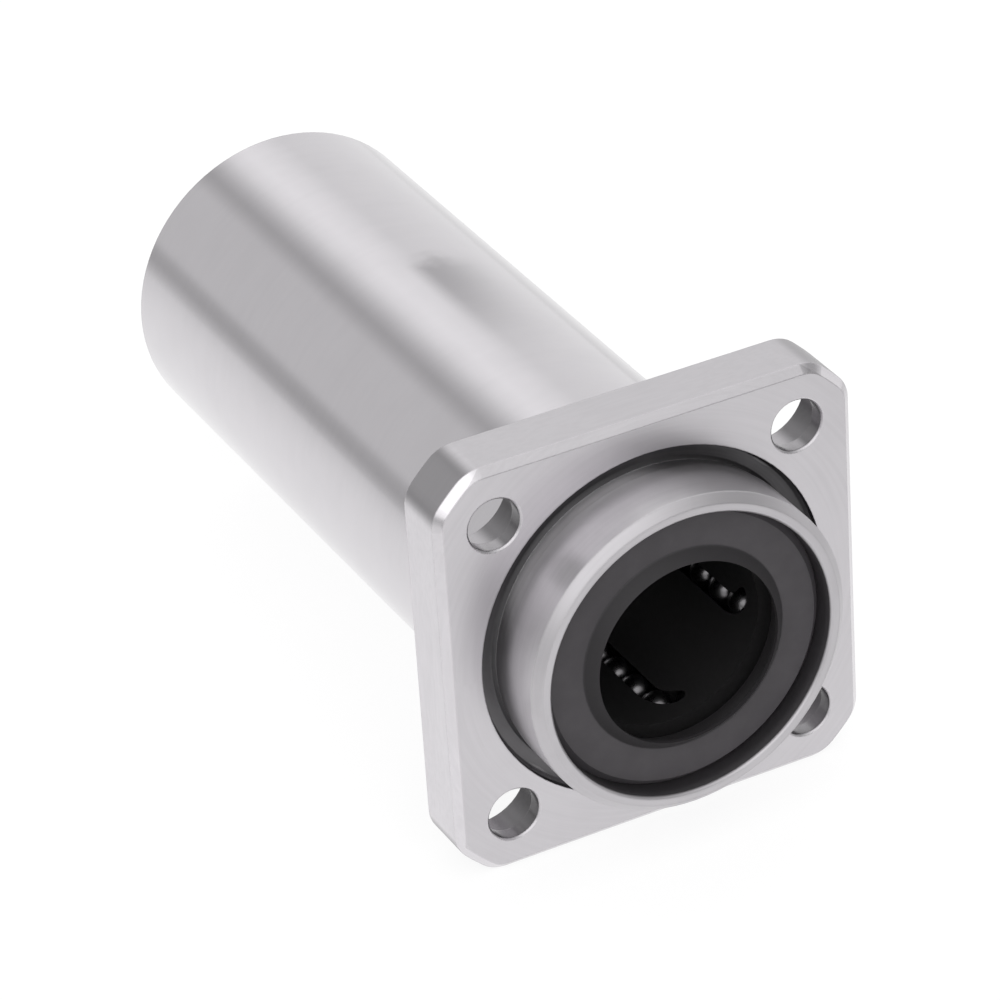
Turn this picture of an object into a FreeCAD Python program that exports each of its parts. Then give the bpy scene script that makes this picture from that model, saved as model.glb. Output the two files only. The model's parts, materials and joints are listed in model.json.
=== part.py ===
import FreeCAD, Part
import math
import os

# Linear ball bushing of double length with a square flange and a short pilot. Millimetres.
# The bore axis is Y: the pilot tip points to -Y and the long sleeve to +Y. Z is up.
# The origin is on the bore axis, in the flange face that the pilot stands on.

# Shaft and balls
SHAFT_D = 16.0
BALL_D = 2.778
BALL_GAP = 0.05             # least room between neighbouring balls, also in the turns
BALL_PHASE = 1.9            # first ball, measured from the start of the loaded run
CIRCUITS = 5
FIRST_ROW_ANGLE = -88.0     # degrees from +X towards +Z
RETURN_LIFT = 1.16          # how much further out the returning row runs than the loaded row

# Outer sleeve
OVERALL_LENGTH = 73.6
PILOT_LENGTH = 6.1
RETURN_CLEARANCE = 0.162    # from the returning balls to the chamber that they run in
SLEEVE_WALL = 1.9           # steel outside the chamber
SEAT_STEP = 0.4             # how much further out the seal seats are bored than the chamber
MOUTH_CHAMFER = 0.2
TIP_CHAMFER = 0.7
REAR_CHAMFER = 0.8

# Flange
FLANGE_T = 5.8
FLANGE_CHAMFER = 0.65
CORNER_BLEND = 3.0          # where the flat sides run into the round corners
BOLT_COUNT = 4
BOLT_HOLE_D = 4.5
COUNTERBORE_D = 8.0
SCREW_SEAT_T = 1.4          # steel left under a screw head
HEAD_ROOM = 1.0             # from a counterbore in to the sleeve
CORNER_WALL = 1.0           # from a counterbore out to the round corner
SIDE_WALL = 1.065           # from a counterbore out to the flat side
HOLE_CHAMFER = 0.15
UNDERCUT_WIDTH = 1.4        # turned groove in the flange face, round the pilot
UNDERCUT_DEPTH = 1.0
UNDERCUT_CORNER = 0.3
UNDERCUT_RELIEF = 0.2       # how far the groove cuts into the pilot's root
UNDERCUT_RUNOUT = 0.6       # how far it runs out along the pilot

# Raceway lands inside the sleeve, one for each loaded row
RACEWAY_CLEARANCE = 0.02
LAND_SIDE_CLEARANCE = 0.36  # to each side of the cage slot
LAND_RAMP = 0.8

# Ball cages
CAGE_SHAFT_CLEARANCE = 0.25
CAGE_CLEARANCE = 0.1        # radial, to the chamber
CAGE_END_CLEARANCE = 0.05
CAGE_END_WALL = 0.9
CAGE_EDGE_CHAMFER = 0.3
CHANNEL_CLEARANCE = 0.07    # radial, round a ball

# End seals
SEAL_RECESS = 1.55
SEAL_T = 1.6
SEAL_CLEARANCE = 0.02
SEAL_BEVEL = 0.65
LIP_RISE = 0.9
LIP_ROOT_WIDTH = 0.95
LIP_BAND = 0.35             # length of the lip that meets the shaft
LIP_FLARE = 0.9             # how much wider the bore behind the lip becomes

# Retaining rings
RING_T = 0.9
RING_GROOVE_DEPTH = 0.55    # below the seal seat
RING_GROOVE_CLEARANCE = 0.025
RING_HOLD = 1.2             # how far a ring stands in from the chamber wall
RING_OPENING = 5.0

ORIGIN = FreeCAD.Vector(0, 0, 0)
BORE_AXIS = FreeCAD.Vector(0, 1, 0)
TOUCH = 1e-6

# Sizes across the bore axis, from the shaft outwards
ROW_R = (SHAFT_D + BALL_D) / 2
RETURN_R = ROW_R + RETURN_LIFT
CHANNEL_R = BALL_D / 2 + CHANNEL_CLEARANCE
CHAMBER_R = RETURN_R + BALL_D / 2 + RETURN_CLEARANCE
SEAT_R = CHAMBER_R + SEAT_STEP
GROOVE_R = SEAT_R + RING_GROOVE_DEPTH
SLEEVE_R = CHAMBER_R + SLEEVE_WALL
HOLE_R = BOLT_HOLE_D / 2
HEAD_R = COUNTERBORE_D / 2
BOLT_CIRCLE_R = SLEEVE_R + HEAD_ROOM + HEAD_R
FLANGE_CORNER_R = BOLT_CIRCLE_R + HEAD_R + CORNER_WALL
FLANGE_HALF = BOLT_CIRCLE_R / math.sqrt(2) + HEAD_R + SIDE_WALL

# Places along the bore axis
TIP_Y = -PILOT_LENGTH
REAR_Y = TIP_Y + OVERALL_LENGTH
MIDDLE = FreeCAD.Vector(0, (TIP_Y + REAR_Y) / 2, 0)
SEAL_FACE_Y = TIP_Y + SEAL_RECESS
GROOVE_Y = SEAL_FACE_Y + SEAL_T
GROOVE_WIDTH = RING_T + 2 * RING_GROOVE_CLEARANCE
CHAMBER_Y = GROOVE_Y + GROOVE_WIDTH
CAGE_Y = CHAMBER_Y + CAGE_END_CLEARANCE
CAGE_LENGTH = MIDDLE.y - CAGE_END_CLEARANCE - CAGE_Y

# Ball track: two straight runs joined by half turns, in a plane beside the shaft
ROW_SPACING = math.sqrt(RETURN_R ** 2 - ROW_R ** 2)
TURN_R = ROW_SPACING / 2
RUN_START_Y = CAGE_Y + CAGE_END_WALL + CHANNEL_R + TURN_R
RUN_END_Y = CAGE_Y + CAGE_LENGTH - CAGE_END_WALL - CHANNEL_R - TURN_R
RUN_LENGTH = RUN_END_Y - RUN_START_Y
TURN_LENGTH = math.pi * TURN_R
TRACK_LENGTH = 2 * (RUN_LENGTH + TURN_LENGTH)


def turned(profile):
    """Solid of revolution about the bore axis, from (radius, y) corners."""
    corners = [FreeCAD.Vector(radius, y, 0) for radius, y in profile]
    outline = Part.makePolygon(corners + corners[:1])
    return Part.Face(outline).revolve(ORIGIN, BORE_AXIS, 360)


def mirrored(shape):
    """The same piece at the other end of the sleeve."""
    return shape.mirror(MIDDLE, BORE_AXIS)


def at_angle(shape, degrees):
    """A copy turned about the bore axis, from +X towards +Z."""
    copy = shape.copy()
    copy.rotate(ORIGIN, -BORE_AXIS, degrees)
    return copy


def row_angles():
    return [FIRST_ROW_ANGLE + 360 / CIRCUITS * index for index in range(CIRCUITS)]


def sleeve_blank():
    return turned([
        (0, TIP_Y),
        (SLEEVE_R - TIP_CHAMFER, TIP_Y),
        (SLEEVE_R, TIP_Y + TIP_CHAMFER),
        (SLEEVE_R, REAR_Y - REAR_CHAMFER),
        (SLEEVE_R - REAR_CHAMFER, REAR_Y),
        (0, REAR_Y),
    ])


def sleeve_bore():
    """Everything that is bored out of the sleeve: mouths, seal seats, ring grooves and chamber."""
    front_half = [
        (0, TIP_Y),
        (SEAT_R + MOUTH_CHAMFER, TIP_Y),
        (SEAT_R, TIP_Y + MOUTH_CHAMFER),
        (SEAT_R, GROOVE_Y),
        (GROOVE_R, GROOVE_Y),
        (GROOVE_R, CHAMBER_Y),
        (CHAMBER_R, CHAMBER_Y),
    ]
    rear_half = [(radius, 2 * MIDDLE.y - y) for radius, y in reversed(front_half)]
    return turned(front_half + rear_half)


def edges_in_plane(shape, y):
    return [
        edge for edge in shape.Edges
        if abs(edge.BoundBox.YMin - y) < TOUCH and abs(edge.BoundBox.YMax - y) < TOUCH
    ]


def edges_along_bore(shape):
    return [
        edge for edge in shape.Edges
        if edge.BoundBox.XLength < TOUCH and edge.BoundBox.ZLength < TOUCH
    ]


def flange_plate():
    """A disc milled to a square, with blends into its round corners and both rims chamfered."""
    side = 2 * FLANGE_HALF
    square = Part.makeBox(side, FLANGE_T, side, FreeCAD.Vector(-FLANGE_HALF, 0, -FLANGE_HALF))
    disc = Part.makeCylinder(FLANGE_CORNER_R, FLANGE_T, ORIGIN, BORE_AXIS)
    plate = square.common(disc)
    plate = plate.makeFillet(CORNER_BLEND, edges_along_bore(plate))
    rims = edges_in_plane(plate, 0) + edges_in_plane(plate, FLANGE_T)
    return plate.makeChamfer(FLANGE_CHAMFER, rims)


def bolt_holes():
    """Plain holes in the seating face, counterbored for cap screws from the sleeve side."""
    tool = turned([
        (0, 0),
        (HOLE_R + HOLE_CHAMFER, 0),
        (HOLE_R, HOLE_CHAMFER),
        (HOLE_R, SCREW_SEAT_T),
        (HEAD_R, SCREW_SEAT_T),
        (HEAD_R, FLANGE_T - HOLE_CHAMFER),
        (HEAD_R + HOLE_CHAMFER, FLANGE_T),
        (0, FLANGE_T),
    ])
    tool.translate(FreeCAD.Vector(BOLT_CIRCLE_R, 0, 0))
    pitch = 360 / BOLT_COUNT
    return [at_angle(tool, pitch * (index + 0.5)) for index in range(BOLT_COUNT)]


def pilot_undercut():
    """Relief in the corner between pilot and flange, so that a housing seats on the flange face."""
    inner = SLEEVE_R - UNDERCUT_RELIEF
    outer = SLEEVE_R + UNDERCUT_WIDTH
    return turned([
        (SLEEVE_R, -UNDERCUT_RUNOUT),
        (inner, UNDERCUT_RELIEF - UNDERCUT_RUNOUT),
        (inner, UNDERCUT_DEPTH - UNDERCUT_CORNER),
        (inner + UNDERCUT_CORNER, UNDERCUT_DEPTH),
        (outer - UNDERCUT_CORNER, UNDERCUT_DEPTH),
        (outer, UNDERCUT_DEPTH - UNDERCUT_CORNER),
        (outer, 0),
    ])


def raceway_lands():
    """Ground strips that stand into the cage slots, one behind each loaded row of the front cage."""
    race = ROW_R + BALL_D / 2 + RACEWAY_CLEARANCE
    root = CHAMBER_R + SLEEVE_WALL / 2
    width = 2 * (CHANNEL_R - LAND_SIDE_CLEARANCE)
    ring = turned([
        (race, RUN_START_Y + LAND_RAMP),
        (root, RUN_START_Y),
        (root, RUN_END_Y),
        (race, RUN_END_Y - LAND_RAMP),
    ])
    slab = Part.makeBox(root, RUN_LENGTH, width, FreeCAD.Vector(race / 2, RUN_START_Y, -width / 2))
    return [ring.common(at_angle(slab, angle)) for angle in row_angles()]


def outer_sleeve():
    bored = sleeve_blank().fuse(flange_plate()).cut([sleeve_bore(), pilot_undercut()] + bolt_holes())
    front_lands = raceway_lands()
    return bored.fuse(front_lands + [mirrored(land) for land in front_lands]).removeSplitter()


def channel_section(y):
    """Section of the ball channel: round under the ball and open towards the sleeve."""
    low = FreeCAD.Vector(ROW_R, y, -CHANNEL_R)
    high = FreeCAD.Vector(ROW_R, y, CHANNEL_R)
    bottom = Part.Arc(high, FreeCAD.Vector(ROW_R - CHANNEL_R, y, 0), low).toShape()
    sides = Part.makePolygon([
        low,
        FreeCAD.Vector(CHAMBER_R, y, -CHANNEL_R),
        FreeCAD.Vector(CHAMBER_R, y, CHANNEL_R),
        high,
    ])
    return Part.Face(Part.Wire([bottom] + sides.Edges))


def ball_channel():
    """The closed channel at the +X side: loaded run, returning run and the two turns."""
    loaded = channel_section(RUN_START_Y).extrude(BORE_AXIS * RUN_LENGTH)
    returning = loaded.translated(FreeCAD.Vector(0, 0, ROW_SPACING))
    pieces = [loaded, returning]
    for y, half_turn in ((RUN_START_Y, -180), (RUN_END_Y, 180)):
        centre = FreeCAD.Vector(0, y, TURN_R)
        pieces.append(channel_section(y).revolve(centre, FreeCAD.Vector(1, 0, 0), half_turn))
    return pieces[0].fuse(pieces[1:]).removeSplitter()


def retainer():
    inner = SHAFT_D / 2 + CAGE_SHAFT_CLEARANCE
    outer = CHAMBER_R - CAGE_CLEARANCE
    end = CAGE_Y + CAGE_LENGTH
    tube = turned([
        (inner, CAGE_Y),
        (outer - CAGE_EDGE_CHAMFER, CAGE_Y),
        (outer, CAGE_Y + CAGE_EDGE_CHAMFER),
        (outer, end - CAGE_EDGE_CHAMFER),
        (outer - CAGE_EDGE_CHAMFER, end),
        (inner, end),
    ])
    channel = ball_channel()
    return tube.cut([at_angle(channel, angle) for angle in row_angles()])


def track_point(distance):
    """A ball centre on the track at the +X side, from the start of the loaded run."""
    half_track, along = divmod(distance % TRACK_LENGTH, TRACK_LENGTH / 2)
    if along < RUN_LENGTH:
        y = RUN_START_Y + along
        z = 0
    else:
        turn = (along - RUN_LENGTH) / TURN_R
        y = RUN_END_Y + TURN_R * math.sin(turn)
        z = TURN_R * (1 - math.cos(turn))
    if half_track:
        y = RUN_START_Y + RUN_END_Y - y
        z = ROW_SPACING - z
    return FreeCAD.Vector(ROW_R, y, z)


def ball_circuit():
    """One loop of balls. In the turns neighbours are a chord apart, which sets how many fit."""
    least_pitch = ROW_SPACING * math.asin((BALL_D + BALL_GAP) / ROW_SPACING)
    count = math.floor(TRACK_LENGTH / least_pitch)
    pitch = TRACK_LENGTH / count
    centres = [track_point(BALL_PHASE + pitch * index) for index in range(count)]
    return Part.makeCompound([Part.makeSphere(BALL_D / 2, centre) for centre in centres])


def end_seal():
    """Rubber ring with a bevelled rim and a conical lip that reaches out along the shaft."""
    rim = SEAT_R - SEAL_CLEARANCE
    edge = SHAFT_D / 2
    back = SEAL_FACE_Y + SEAL_T
    lip_tip = SEAL_FACE_Y - LIP_RISE
    return turned([
        (edge, lip_tip),
        (edge + LIP_ROOT_WIDTH, SEAL_FACE_Y),
        (rim - SEAL_BEVEL, SEAL_FACE_Y),
        (rim, SEAL_FACE_Y + SEAL_BEVEL),
        (rim, back),
        (edge + LIP_FLARE, back),
        (edge, lip_tip + LIP_BAND),
    ])


def retaining_ring():
    """Open spring ring in its groove, with the gap at the bottom."""
    start = GROOVE_Y + RING_GROOVE_CLEARANCE
    inner = CHAMBER_R - RING_HOLD
    outer = GROOVE_R - RING_GROOVE_CLEARANCE
    ring = turned([(inner, start), (outer, start), (outer, start + RING_T), (inner, start + RING_T)])
    gap = Part.makeBox(
        RING_OPENING, RING_T, outer, FreeCAD.Vector(-RING_OPENING / 2, start, -outer))
    return ring.cut(gap)


def all_pieces():
    pieces = {"outer_sleeve": outer_sleeve()}
    front_pieces = {
        "seal": end_seal(),
        "retaining_ring": retaining_ring(),
        "retainer": retainer(),
    }
    circuit = ball_circuit()
    for number, angle in enumerate(row_angles(), start=1):
        front_pieces["ball_circuit_%d" % number] = at_angle(circuit, angle)
    for name, shape in front_pieces.items():
        pieces["front_" + name] = shape
        pieces["rear_" + name] = mirrored(shape)
    return pieces


os.makedirs("parts", exist_ok=True)
for node, solid in all_pieces().items():
    solid.exportStep("parts/%s.step" % node)
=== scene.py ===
import json
import math
from types import SimpleNamespace

import bpy
from mathutils import Matrix, Vector


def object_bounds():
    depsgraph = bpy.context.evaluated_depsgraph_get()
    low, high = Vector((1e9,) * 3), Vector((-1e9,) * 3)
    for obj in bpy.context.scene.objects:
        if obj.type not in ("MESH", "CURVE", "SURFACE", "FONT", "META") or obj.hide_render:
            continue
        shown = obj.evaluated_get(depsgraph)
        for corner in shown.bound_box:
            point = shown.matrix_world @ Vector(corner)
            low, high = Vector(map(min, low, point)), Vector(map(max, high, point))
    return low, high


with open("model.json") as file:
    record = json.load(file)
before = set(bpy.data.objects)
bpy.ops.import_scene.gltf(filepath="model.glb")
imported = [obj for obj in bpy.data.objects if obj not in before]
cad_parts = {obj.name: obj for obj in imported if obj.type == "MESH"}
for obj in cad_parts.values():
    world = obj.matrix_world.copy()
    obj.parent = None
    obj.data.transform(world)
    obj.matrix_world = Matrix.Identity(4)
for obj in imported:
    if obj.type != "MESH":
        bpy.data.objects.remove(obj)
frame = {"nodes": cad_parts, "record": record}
cad_low, cad_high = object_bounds()

MM = 0.001

# Sizes of the part that the finishes follow, from its mounts and its box
MOUNTS = {mount["name"]: mount for mount in frame["record"]["mounts"]}
SLEEVE_R = MOUNTS["sleeve_outside"]["dims"]["r_mm"] * MM
SLEEVE_LENGTH = MOUNTS["sleeve_outside"]["dims"]["length_mm"] * MM
FLANGE_BACK = MOUNTS["sleeve_outside"]["pos_m"][1] - SLEEVE_LENGTH / 2
TIP_EDGE = MOUNTS["pilot"]["pos_m"][1] - MOUNTS["pilot"]["dims"]["length_mm"] / 2 * MM
BOLT_CIRCLE_R = MOUNTS["flange_bolts"]["dims"]["pcd_mm"] / 2 * MM
SHAFT_R = MOUNTS["shaft_bore"]["dims"]["r_mm"] * MM
FLANGE_HALF = cad_high.x

# Other sizes of the part, as its source has them
UNDERCUT_WIDTH = 1.4 * MM
UNDERCUT_DEPTH = 1.0 * MM
UNDERCUT_RELIEF = 0.2 * MM
UNDERCUT_CORNER = 0.3 * MM
BOLT_HOLE_R = 2.25 * MM
COUNTERBORE_R = 4.0 * MM
CORNER_R = 24.0 * MM
FLANGE_CHAMFER = 0.65 * MM
SEAT_R = 12.5 * MM
LIP_WIDTH = 0.95 * MM

# Borders of the finishes: how soft they are, and how far from an edge they lie
BORDER_SOFT = 0.05 * MM
BORDER_MARGIN = 0.05 * MM
PILOT_MARGIN = 0.1 * MM
SIDE_INSET = 0.3 * MM
SIDE_SOFT = 0.2 * MM
CORNER_INSET = 0.35 * MM
CORNER_SOFT = 0.25 * MM
UNDERCUT_START = 0.1 * MM
UNDERCUT_MARGIN = 0.2 * MM
HOLE_INSET = 0.15 * MM
HOLE_MARGIN = 0.1 * MM
MOUTH_REACH = 0.3 * MM
LIP_SOFT = 0.15 * MM

# Share of red and blue in a grey, with green as 1
TINT = (1.03, 1.0, 1.038)
PILOT_TINT = (1.024, 1.0, 1.031)
RUBBER_TINT = (1.07, 1.0, 1.08)

# Reflectance of the steel's finishes
SLEEVE_TONE = 0.66
PILOT_TONE = 0.67
FACE_TONE = 0.62
SIDE_TONE = 0.73
# Top and bottom sides: the same milled finish as the left and right ones, painted darker as shade
SHADED_TOP_TONE = 0.59
# Rounded corners: painted dark, as shade
SHADED_CORNER_TONE = 0.39
# Hole walls: painted shade, lighter to the left and darker to the right
HOLE_LEFT_TONE = 0.45
HOLE_RIGHT_TONE = 0.14
# Painted shade: how much a hole's wall darkens upwards, against how much it does to the right
HOLE_SLANT = 0.6
# Share of its tone that the wall of a lower hole loses, as painted shade
LOWER_HOLE_LOSS = 0.25
# Groove: painted dark as shade in the recess, darker towards the top
UNDERCUT_TONE_LOW = 0.15
UNDERCUT_TONE_HIGH = 0.07
TIP_TONE = 0.56
BORED_TONE = 0.34
# Chamfers: those on the sides and corners are painted brighter than the top one, as a highlight
HIGHLIT_CHAMFER_TONE = 0.74
CHAMFER_TOP_TONE = 0.60
# Worn edges, also painted brighter as a highlight
WORN_HIGHLIGHT_TONE = 0.68
HAZE_TONE = 0.4
FEED_TONE = 0.3
SMUDGE_TONE = 0.2

# Roughness of the steel's finishes
SLEEVE_ROUGH = 0.13
PILOT_ROUGH = 0.36
PILOT_ROOT_ROUGH = 0.78
TIP_ROUGH = 0.42
FLANGE_ROUGH = 0.34
CUT_ROUGH = 0.46
HOLE_ROUGH = 0.24
CHAMFER_ROUGH = 0.22
WORN_ROUGH = 0.22
# The pilot's root is dull along the run-out of its grinding, on one side: the middle of that side,
# and the cosines of the angles from it where the dullness begins and is full
GRIND_RUNOUT = 2.4 * MM
DULL_SIDE = math.radians(124)
DULL_SPAN = (0.72, 0.95)

# Patterns of noise: how often those in the steel change in a metre or a radian, and how fine they are
RING_PACE = 9000
STROKE_PACE = 250
STROKE_STEP = 7000
FEED_PACE = 2600
FEED_TURN = 1.5
CLOUD_PACE = 220
STREAK_DETAIL = 2.0
CLOUD_DETAIL = 4.0
FINE_DETAIL = 3.0
NOISE_ROUGH = 0.55

# What the patterns do: the span of the noise that counts, and the greatest share or height
HAZE_SPAN = (0.35, 0.75)
HAZE_SHARE = 0.06
PILOT_HAZE_SHARE = 0.22
FEED_SPAN = (0.35, 0.7)
FEED_SHARE = 0.07
SLEEVE_FEED_SHARE = 0.02
LAY_SPAN = (0.2, 0.8)
LAY_ROUGH = 0.03
LAY_BUMP = 0.15
LAY_HEIGHT = 0.002 * MM

# Rounded edges: their radius, and the wear on them, which is also painted brighter as a highlight. Wear
# begins and is full at these cosines of the angle by which the rounding turns the normal
EDGE_ROUND = 0.15 * MM
MOUTH_ROUND = 0.22 * MM
ROUND_SAMPLES = 4
WORN_HIGHLIGHT_SPAN = (0.99, 0.93)
WORN_HIGHLIGHT_SHARE = 0.6

# Smudge on top of the sleeve: it ends sharply to the rear and above, and fades to the front and below.
# Its rear edge is ragged, and it is full from SMUDGE_FULL in front of that edge
SMUDGE_REAR = 39.5 * MM
SMUDGE_REAR_SOFT = 1.8 * MM
SMUDGE_FULL = 2.0 * MM
SMUDGE_FRONT = 20 * MM
SMUDGE_ABOVE = math.radians(91)
SMUDGE_ABOVE_SOFT = math.radians(4)
SMUDGE_BELOW = math.radians(57)
SMUDGE_FADE = 1.5
SMUDGE_SKIN = 1.0 * MM
SMUDGE_SHARE = 0.52
RAGGED_SPAN = (0.3, 0.7)
RAGGED_REACH = 1.0 * MM

# Rubber, resin, balls and rings: pace of the noise, darkest and palest tone, lowest and highest
# roughness
RUBBER_GRAIN_PACE = 9000
RUBBER_CLOUD_PACE = 350
RUBBER_CLOUD_SPAN = (0.3, 0.75)
RUBBER_TONES = (0.088, 0.105)
# Lip: painted darker, as shade
SHADED_LIP_TONE = 0.037
RUBBER_SPECULAR = 0.35
RUBBER_ROUGH = (0.48, 0.60)
RUBBER_BUMP = 0.25
RESIN_GRAIN_PACE = 5000
RESIN_TONES = (0.018, 0.028)
RESIN_ROUGH = (0.38, 0.50)
RESIN_BUMP = 0.2
GRAIN_SPAN = (0.2, 0.8)
GRAIN_HEIGHT = 0.01 * MM
BALL_FILM_PACE = 900
BALL_TONES = (0.1615, 0.2185)
BALL_ROUGH = (0.24, 0.34)
RING_FILM_PACE = 1500
RING_TONES = (0.088, 0.1375)
RING_ROUGH = (0.3, 0.45)
MOTTLE_SPAN = (0.3, 0.8)

# Camera, set to the photograph's view
AIM = Vector((0, 25, 0)) * MM
AZIMUTH = math.radians(-25.94)
ELEVATION = math.radians(31.38)
ROLL = math.radians(-3.94)
DISTANCE = 428.24 * MM
SLIDE_RIGHT = -0.595 * MM
SLIDE_UP = -1.365 * MM
FOCAL_PIXELS = 5194.27
PICTURE_PIXELS = 1000
SENSOR = 36.0
CLIP_START = 0.01

# Studio: levels of light, where 1 is white
BLACK = (0, 0, 0, 1)
WHITE = (1, 1, 1, 1)
FLOOR_RADIUS = 0.2
FLOOR_SIDES = 128
FLOOR_GLOW = 0.86
# Share of its glow that the floor loses in a mirror, for each metre to the side of the part
FLOOR_FALL = 2.6
FLOOR_COLOUR = (0.2, 0.2, 0.2, 1)
# Strips along the room, which the polished sleeve mirrors: angle about +Y from +X towards +Z, and level
ROOM_STRIPS = (
    (-60, 0.95),
    (0, 0.92),
    (48, 0.86),
    (62, 1.00),
    (76, 1.08),
    (86, 0.98),
    (100, 0.60),
    (107, 0.47),
    (113, 0.55),
    (120, 0.675),
    (170, 0.675),
    (176, 0.51),
    (183, 0.46),
    (190, 0.62),
    (198, 0.90),
    (215, 0.95),
)
STRIP_START = -90
# Panels in front: direction of the middle, the angles from it where the panel is full and gone, level
PANELS = (
    # Softbox, above to the left
    ((-0.451, -0.622, 0.642), 22, 42, 1.42),
    # Grey flag, to the right
    ((0.603, -0.784, 0.151), 16, 36, 0.3),
    # Grey flag, further up to the right
    ((0.80, -0.33, 0.49), 12, 28, 0.4),
)


def grey(level, tint=TINT):
    return tuple(level * share for share in tint) + (1,)


class Graph:
    """A node tree with short calls to add nodes and to link or set their sockets."""

    def __init__(self, tree):
        self.tree = tree
        tree.nodes.clear()

    def feed(self, socket, value):
        if isinstance(value, bpy.types.NodeSocket):
            self.tree.links.new(value, socket)
        else:
            socket.default_value = value

    def add(self, kind, inputs=None, **settings):
        node = self.tree.nodes.new(kind)
        for name, value in settings.items():
            setattr(node, name, value)
        for socket, value in (inputs or {}).items():
            self.feed(node.inputs[socket], value)
        return node

    def math(self, operation, *values):
        node = self.add("ShaderNodeMath", operation=operation)
        for socket, value in zip(node.inputs, values):
            self.feed(socket, value)
        return node.outputs[0]

    def product(self, first, *others):
        for other in others:
            first = self.math("MULTIPLY", first, other)
        return first

    def either(self, first, *others):
        """The greatest of some masks."""
        for other in others:
            first = self.math("MAXIMUM", first, other)
        return first

    def length(self, first, second):
        squares = [self.math("MULTIPLY", side, side) for side in (first, second)]
        return self.math("SQRT", self.math("ADD", *squares))

    def rise(self, value, start, end, low=0.0, high=1.0):
        """Goes smoothly from low to high while value goes from start to end."""
        node = self.add("ShaderNodeMapRange", interpolation_type="SMOOTHSTEP", inputs={
            "Value": value, "From Min": start, "From Max": end, "To Min": low, "To Max": high})
        return node.outputs["Result"]

    def over(self, value, limit, soft=BORDER_SOFT):
        """1 where value is above limit."""
        return self.rise(value, limit - soft, limit + soft)

    def under(self, value, limit, soft=BORDER_SOFT):
        """1 where value is below limit."""
        return self.rise(value, limit - soft, limit + soft, 1.0, 0.0)

    def mix(self, share, first, second):
        """Goes from the first colour to the second."""
        node = self.add("ShaderNodeMix", data_type="RGBA")
        self.feed(node.inputs["Factor"], share)
        self.feed(node.inputs[6], first)
        self.feed(node.inputs[7], second)
        return node.outputs[2]

    def blend(self, share, first, second):
        """Goes from the first number to the second."""
        node = self.add("ShaderNodeMix", data_type="FLOAT")
        self.feed(node.inputs[0], share)
        self.feed(node.inputs[2], first)
        self.feed(node.inputs[3], second)
        return node.outputs[0]

    def dot(self, first, second):
        node = self.add("ShaderNodeVectorMath", operation="DOT_PRODUCT", inputs={0: first, 1: second})
        return node.outputs["Value"]

    def vector(self, x, y, z):
        return self.add("ShaderNodeCombineXYZ", inputs={"X": x, "Y": y, "Z": z}).outputs[0]

    def split(self, vector):
        return self.add("ShaderNodeSeparateXYZ", inputs={0: vector}).outputs

    def point(self):
        """The point on the part or the floor, in metres."""
        return self.add("ShaderNodeTexCoord").outputs["Object"]

    def noise(self, vector, scale, detail=FINE_DETAIL):
        node = self.add("ShaderNodeTexNoise", inputs={
            "Vector": vector, "Scale": scale, "Detail": detail, "Roughness": NOISE_ROUGH})
        return node.outputs["Fac"]

    def streaks(self, *axes):
        """Noise that is drawn out: each axis is a value, and the pace of the noise along it."""
        stretched = [self.product(value, pace) for value, pace in axes]
        return self.noise(self.vector(*stretched), 1.0, STREAK_DETAIL)

    def mottle(self, pattern, span, tones, tint=TINT):
        """Goes from the first tone to the second while the pattern goes through the span."""
        dark, pale = (grey(tone, tint) for tone in tones)
        return self.mix(self.rise(pattern, *span), dark, pale)

    def bump(self, height, strength, distance, normal=None):
        node = self.add("ShaderNodeBump", inputs={
            "Height": height, "Strength": strength, "Distance": distance})
        if normal is not None:
            self.feed(node.inputs["Normal"], normal)
        return node.outputs[0]


def new_material(name):
    material = bpy.data.materials.new(name)
    material.use_nodes = True
    graph = Graph(material.node_tree)
    surface = graph.add("ShaderNodeBsdfPrincipled")
    output = graph.add("ShaderNodeOutputMaterial")
    graph.feed(output.inputs["Surface"], surface.outputs[0])
    return material, graph, surface


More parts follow.
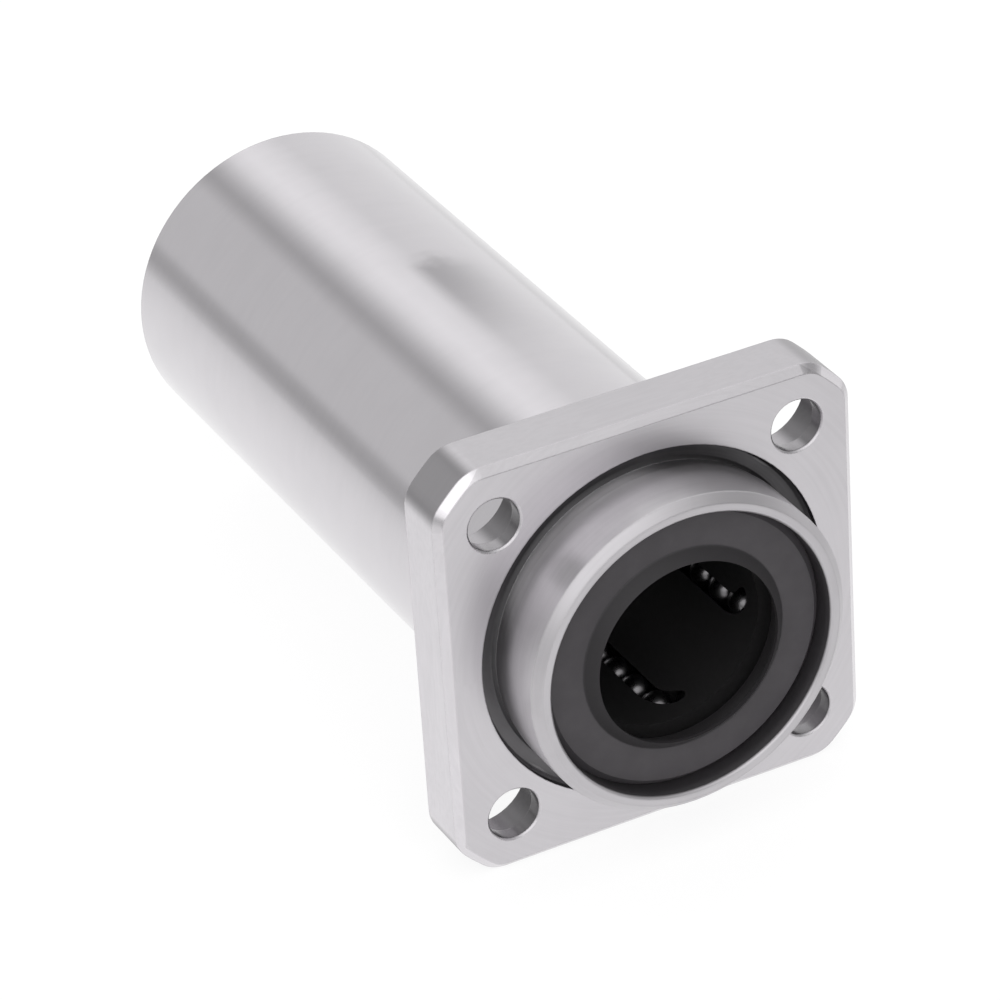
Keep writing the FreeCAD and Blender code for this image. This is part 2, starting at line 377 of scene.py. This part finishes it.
def steel_places(graph, x, y, z, radius):
    """Masks that are 1 on one surface of the steel piece, and the way to a point from the nearest hole."""
    beside = graph.math("ABSOLUTE", x)
    above = graph.math("ABSOLUTE", z)
    on = SimpleNamespace()
    on.sleeve = graph.over(y, FLANGE_BACK + BORDER_MARGIN)
    on.pilot = graph.product(
        graph.under(y, UNDERCUT_DEPTH - UNDERCUT_CORNER),
        graph.under(radius, SLEEVE_R + PILOT_MARGIN),
    )
    on.tip = graph.under(y, TIP_EDGE)
    on.mouth = graph.under(y, TIP_EDGE + MOUTH_REACH)
    on.bored = graph.under(radius, SEAT_R + BORDER_MARGIN)
    on.side_x = graph.over(beside, FLANGE_HALF - SIDE_INSET, SIDE_SOFT)
    on.side_z = graph.over(above, FLANGE_HALF - SIDE_INSET, SIDE_SOFT)
    on.corner = graph.over(radius, CORNER_R - CORNER_INSET, CORNER_SOFT)
    on.top_rim = graph.over(above, FLANGE_HALF - FLANGE_CHAMFER)
    on.side_rim = graph.either(
        graph.over(beside, FLANGE_HALF - FLANGE_CHAMFER),
        graph.over(radius, CORNER_R - FLANGE_CHAMFER),
    )
    on.chamfer = graph.product(graph.either(on.top_rim, on.side_rim), graph.under(y, FLANGE_CHAMFER))
    # The groove's inner wall is finished like the pilot, down to its bottom corner, where radius + y
    # reaches this sum
    corner_sum = SLEEVE_R - UNDERCUT_RELIEF + UNDERCUT_DEPTH - UNDERCUT_CORNER
    on.undercut = graph.product(
        graph.over(y, UNDERCUT_START),
        graph.under(y, UNDERCUT_DEPTH + UNDERCUT_MARGIN),
        graph.over(graph.math("ADD", radius, y), corner_sum),
        graph.under(radius, SLEEVE_R + UNDERCUT_WIDTH + BORDER_MARGIN),
    )
    offset = BOLT_CIRCLE_R / math.sqrt(2)
    on.hole_right, on.hole_up = (
        graph.math("SUBTRACT", value, graph.product(graph.math("SIGN", value), offset))
        for value in (x, z)
    )
    on.hole = graph.product(
        graph.under(graph.length(on.hole_right, on.hole_up), COUNTERBORE_R + HOLE_MARGIN),
        graph.over(y, HOLE_INSET),
        graph.under(y, FLANGE_BACK - HOLE_INSET),
    )
    return on


def dark_smudge(graph, y, radius, angle, cloud):
    """Share of a dark smudge on top of the sleeve."""
    ragged = graph.rise(cloud, *RAGGED_SPAN, -RAGGED_REACH, RAGGED_REACH)
    downwards = graph.rise(angle, SMUDGE_BELOW, SMUDGE_ABOVE - SMUDGE_ABOVE_SOFT)
    return graph.product(
        graph.under(graph.math("ADD", y, ragged), SMUDGE_REAR, SMUDGE_REAR_SOFT),
        graph.rise(y, SMUDGE_FRONT, SMUDGE_REAR - SMUDGE_FULL),
        graph.under(angle, SMUDGE_ABOVE, SMUDGE_ABOVE_SOFT),
        graph.math("POWER", downwards, SMUDGE_FADE),
        graph.over(radius, SLEEVE_R - SMUDGE_SKIN),
        SMUDGE_SHARE,
    )


def steel_tone(graph, on, z):
    """Colour of each finish of the steel, before haze, marks and wear, with painted shade on the top and
    bottom sides, the rounded corners, the hole walls and the groove, and a painted highlight on the side
    and corner chamfers.
    """
    tone = graph.mix(on.side_x, grey(FACE_TONE), grey(SIDE_TONE))
    # The top and bottom sides are painted darker than the left and right ones, as shade
    tone = graph.mix(on.side_z, tone, grey(SHADED_TOP_TONE))
    # The rounded corners are painted dark as shade
    tone = graph.mix(on.corner, tone, grey(SHADED_CORNER_TONE))
    # The side and corner chamfers are painted brighter than the top one, as a highlight
    rim = graph.mix(on.side_rim, grey(CHAMFER_TOP_TONE), grey(HIGHLIT_CHAMFER_TONE))
    tone = graph.mix(on.chamfer, tone, rim)
    # Painted shade on the hole walls: darker to the upper right, and darker still in the lower holes
    slant = graph.math("ADD", on.hole_right, graph.product(on.hole_up, HOLE_SLANT))
    shaded_wall = graph.mix(
        graph.rise(slant, -BOLT_HOLE_R, BOLT_HOLE_R), grey(HOLE_LEFT_TONE), grey(HOLE_RIGHT_TONE))
    shaded_wall = graph.mix(graph.product(graph.under(z, 0.0), LOWER_HOLE_LOSS), shaded_wall, BLACK)
    tone = graph.mix(on.hole, tone, shaded_wall)
    # The groove is painted dark as shade in its recess, darker towards the top
    groove = graph.mix(
        graph.rise(z, -SLEEVE_R, SLEEVE_R), grey(UNDERCUT_TONE_LOW), grey(UNDERCUT_TONE_HIGH))
    tone = graph.mix(on.undercut, tone, groove)
    tone = graph.mix(on.pilot, tone, grey(PILOT_TONE, PILOT_TINT))
    tone = graph.mix(on.tip, tone, grey(TIP_TONE))
    tone = graph.mix(on.sleeve, tone, grey(SLEEVE_TONE))
    return graph.mix(on.bored, tone, grey(BORED_TONE))


def steel_rough(graph, on, y, angle):
    """Roughness of each finish of the steel, before marks and wear."""
    rough = graph.blend(on.undercut, FLANGE_ROUGH, CUT_ROUGH)
    rough = graph.blend(on.hole, rough, HOLE_ROUGH)
    rough = graph.blend(on.chamfer, rough, CHAMFER_ROUGH)
    facing = graph.math("COSINE", graph.math("SUBTRACT", angle, DULL_SIDE))
    dull = graph.product(graph.rise(y, -GRIND_RUNOUT, 0.0), graph.rise(facing, *DULL_SPAN))
    rough = graph.blend(on.pilot, rough, graph.blend(dull, PILOT_ROUGH, PILOT_ROOT_ROUGH))
    rough = graph.blend(on.tip, rough, TIP_ROUGH)
    return graph.blend(on.sleeve, rough, SLEEVE_ROUGH)


def bearing_steel():
    """Hardened steel: ground sleeve and pilot, milled flange, drilled holes with painted shade on their
    walls, and a rough groove painted dark as shade.
    """
    material, graph, surface = new_material("ground_bearing_steel")
    point = graph.point()
    x, y, z = graph.split(point)
    radius = graph.length(x, z)
    angle = graph.math("ARCTAN2", z, x)
    on = steel_places(graph, x, y, z, radius)

    # Marks of turning and grinding run round the bore, and those of milling along the flange's sides
    rings = graph.streaks((radius, RING_PACE), (y, RING_PACE), (angle, 1.0))
    strokes = graph.streaks((x, STROKE_PACE), (y, STROKE_STEP), (z, STROKE_PACE))
    lay = graph.blend(graph.either(on.side_x, on.side_z), rings, strokes)
    feed = graph.streaks((radius, FEED_PACE), (y, FEED_PACE), (angle, FEED_TURN))
    cloud = graph.noise(point, CLOUD_PACE, CLOUD_DETAIL)

    # Edges are rounded, and worn and painted bright as a highlight, except on the pilot, in the groove and
    # in the holes
    rounded = graph.add("ShaderNodeBevel", samples=ROUND_SAMPLES, inputs={
        "Radius": graph.blend(on.mouth, EDGE_ROUND, MOUTH_ROUND)}).outputs[0]
    true_normal = graph.add("ShaderNodeNewGeometry").outputs["Normal"]
    plain = graph.math("SUBTRACT", 1.0, graph.either(on.undercut, on.hole, on.pilot))
    worn_highlight = graph.product(graph.rise(graph.dot(rounded, true_normal), *WORN_HIGHLIGHT_SPAN), plain, WORN_HIGHLIGHT_SHARE)

    tone = steel_tone(graph, on, z)
    haze_share = graph.blend(on.pilot, HAZE_SHARE, PILOT_HAZE_SHARE)
    haze = graph.product(graph.rise(cloud, *HAZE_SPAN), haze_share)
    tone = graph.mix(haze, tone, grey(HAZE_TONE))
    marks_share = graph.blend(on.sleeve, FEED_SHARE, SLEEVE_FEED_SHARE)
    marks = graph.product(graph.rise(feed, *FEED_SPAN), marks_share)
    tone = graph.mix(marks, tone, grey(FEED_TONE))
    tone = graph.mix(dark_smudge(graph, y, radius, angle, cloud), tone, grey(SMUDGE_TONE))
    # Worn edges are also painted brighter, as a highlight
    tone = graph.mix(worn_highlight, tone, grey(WORN_HIGHLIGHT_TONE))
    graph.feed(surface.inputs["Base Color"], tone)
    surface.inputs["Metallic"].default_value = 1.0

    rough = graph.blend(worn_highlight, steel_rough(graph, on, y, angle), WORN_ROUGH)
    rough = graph.math("ADD", rough, graph.rise(lay, *LAY_SPAN, -LAY_ROUGH, LAY_ROUGH))
    graph.feed(surface.inputs["Roughness"], rough)
    graph.feed(surface.inputs["Normal"], graph.bump(lay, LAY_BUMP, LAY_HEIGHT, rounded))
    return material


def seal_rubber():
    """Black rubber with a fine moulded grain. The lip is painted darker, as shade."""
    material, graph, surface = new_material("moulded_black_rubber")
    point = graph.point()
    x, _, z = graph.split(point)
    grain = graph.noise(point, RUBBER_GRAIN_PACE)
    cloud = graph.noise(point, RUBBER_CLOUD_PACE)
    lip = graph.under(graph.length(x, z), SHAFT_R + LIP_WIDTH, LIP_SOFT)
    tone = graph.mottle(cloud, RUBBER_CLOUD_SPAN, RUBBER_TONES, RUBBER_TINT)
    # The lip is painted darker, as shade
    tone = graph.mix(lip, tone, grey(SHADED_LIP_TONE, RUBBER_TINT))
    graph.feed(surface.inputs["Base Color"], tone)
    surface.inputs["Specular IOR Level"].default_value = RUBBER_SPECULAR
    graph.feed(surface.inputs["Roughness"], graph.rise(grain, *GRAIN_SPAN, *RUBBER_ROUGH))
    graph.feed(surface.inputs["Normal"], graph.bump(grain, RUBBER_BUMP, GRAIN_HEIGHT))
    return material


def cage_resin():
    """Black moulded resin with a fine grain."""
    material, graph, surface = new_material("black_cage_resin")
    grain = graph.noise(graph.point(), RESIN_GRAIN_PACE)
    graph.feed(surface.inputs["Base Color"], graph.mottle(grain, MOTTLE_SPAN, RESIN_TONES))
    graph.feed(surface.inputs["Roughness"], graph.rise(grain, *GRAIN_SPAN, *RESIN_ROUGH))
    graph.feed(surface.inputs["Normal"], graph.bump(grain, RESIN_BUMP, GRAIN_HEIGHT))
    return material


def filmed_steel(name, pace, detail, tones, roughness):
    """Dark steel under an uneven film."""
    material, graph, surface = new_material(name)
    film = graph.noise(graph.point(), pace, detail)
    graph.feed(surface.inputs["Base Color"], graph.mottle(film, MOTTLE_SPAN, tones))
    surface.inputs["Metallic"].default_value = 1.0
    graph.feed(surface.inputs["Roughness"], graph.rise(film, *MOTTLE_SPAN, *roughness))
    return material


def dress_nodes():
    """One finish for each of the record's material slots, on every node that names it."""
    finishes = {
        "bearing_steel": bearing_steel(),
        "seal_rubber": seal_rubber(),
        "cage_resin": cage_resin(),
        # Grease dulls the glints of the balls
        "ball_steel": filmed_steel(
            "greased_ball_steel", BALL_FILM_PACE, FINE_DETAIL, BALL_TONES, BALL_ROUGH),
        "spring_steel": filmed_steel(
            "dark_spring_steel", RING_FILM_PACE, CLOUD_DETAIL, RING_TONES, RING_ROUGH),
    }
    for node in frame["nodes"].values():
        for slot in node.material_slots:
            slot.material = finishes[slot.material.name]


def shown_white(graph):
    """1 for rays from the camera or through glass, and less to the side for those from a mirror."""
    path = graph.add("ShaderNodeLightPath").outputs
    x, _, _ = graph.split(graph.point())
    fading = graph.math("MULTIPLY_ADD", graph.math("ABSOLUTE", x), -FLOOR_FALL, 1.0)
    mirrored = graph.product(path["Is Glossy Ray"], fading)
    return graph.either(path["Is Camera Ray"], mirrored, path["Is Transmission Ray"])


def make_floor():
    """A pale disc under the part. It glows white to the eye, and still takes the part's shadow."""
    bpy.ops.mesh.primitive_circle_add(
        vertices=FLOOR_SIDES, radius=FLOOR_RADIUS, fill_type="NGON", location=(0, AIM.y, cad_low.z))
    floor = bpy.context.object
    floor.name = "floor"
    material = bpy.data.materials.new("pale_floor")
    material.use_nodes = True
    graph = Graph(material.node_tree)
    paper = graph.add("ShaderNodeBsdfDiffuse", inputs={"Color": FLOOR_COLOUR})
    glow = graph.add("ShaderNodeEmission", inputs={
        "Strength": graph.product(shown_white(graph), FLOOR_GLOW)})
    both = graph.add("ShaderNodeAddShader", inputs={0: paper.outputs[0], 1: glow.outputs[0]})
    output = graph.add("ShaderNodeOutputMaterial")
    graph.feed(output.inputs["Surface"], both.outputs[0])
    floor.data.materials.append(material)


def make_room():
    """A room with long soft strips beside and above the part, which the bright sleeve mirrors."""
    world = bpy.data.worlds.new("studio")
    bpy.context.scene.world = world
    world.use_nodes = True
    graph = Graph(world.node_tree)
    direction = graph.add("ShaderNodeTexCoord").outputs["Generated"]
    x, _, z = graph.split(direction)
    # The angle is measured from STRIP_START, so that its jump lies there, under the floor
    seam = math.radians(STRIP_START + 180)
    across = graph.math("ADD", graph.product(x, math.cos(seam)), graph.product(z, math.sin(seam)))
    upward = graph.math("SUBTRACT", graph.product(z, math.cos(seam)), graph.product(x, math.sin(seam)))
    angle = graph.math("ARCTAN2", upward, across)
    share = graph.math("ADD", graph.math("DIVIDE", angle, 2 * math.pi), 0.5)
    strips = graph.add("ShaderNodeValToRGB", inputs={"Fac": share})
    stops = strips.color_ramp.elements
    while len(stops) < len(ROOM_STRIPS):
        stops.new(0.5)
    for stop, (degrees, level) in zip(stops, ROOM_STRIPS):
        stop.position = (degrees - STRIP_START) / 360
        stop.color = (level, level, level, 1)
    colour = strips.outputs["Color"]
    for middle, full, gone, level in PANELS:
        full_from, gone_from = (math.cos(math.radians(degrees)) for degrees in (full, gone))
        panel = graph.rise(graph.dot(direction, middle), gone_from, full_from)
        colour = graph.mix(panel, colour, (level, level, level, 1))
    # The camera itself sees plain white
    colour = graph.mix(graph.add("ShaderNodeLightPath").outputs["Is Camera Ray"], colour, WHITE)
    background = graph.add("ShaderNodeBackground", inputs={"Color": colour})
    output = graph.add("ShaderNodeOutputWorld")
    graph.feed(output.inputs["Surface"], background.outputs[0])


def make_camera():
    """The photograph's camera: it faces AIM, rolled, and slid a little in its own plane."""
    back = Vector((
        math.sin(AZIMUTH) * math.cos(ELEVATION),
        -math.cos(AZIMUTH) * math.cos(ELEVATION),
        math.sin(ELEVATION),
    ))
    right = Vector((0, 0, 1)).cross(back).normalized()
    up = back.cross(right)
    data = bpy.data.cameras.new("camera")
    data.sensor_width = SENSOR
    data.lens = FOCAL_PIXELS / PICTURE_PIXELS * SENSOR
    data.clip_start = CLIP_START
    camera = bpy.data.objects.new("camera", data)
    bpy.context.scene.collection.objects.link(camera)
    rolled_right = right * math.cos(ROLL) + up * math.sin(ROLL)
    rolled_up = up * math.cos(ROLL) - right * math.sin(ROLL)
    axes = Matrix((rolled_right, rolled_up, back)).transposed()
    place = AIM + back * DISTANCE + right * SLIDE_RIGHT + up * SLIDE_UP
    camera.matrix_world = Matrix.Translation(place) @ axes.to_4x4()
    bpy.context.scene.camera = camera


dress_nodes()
make_floor()
make_room()
make_camera()
bpy.context.scene.view_settings.view_transform = "Standard"
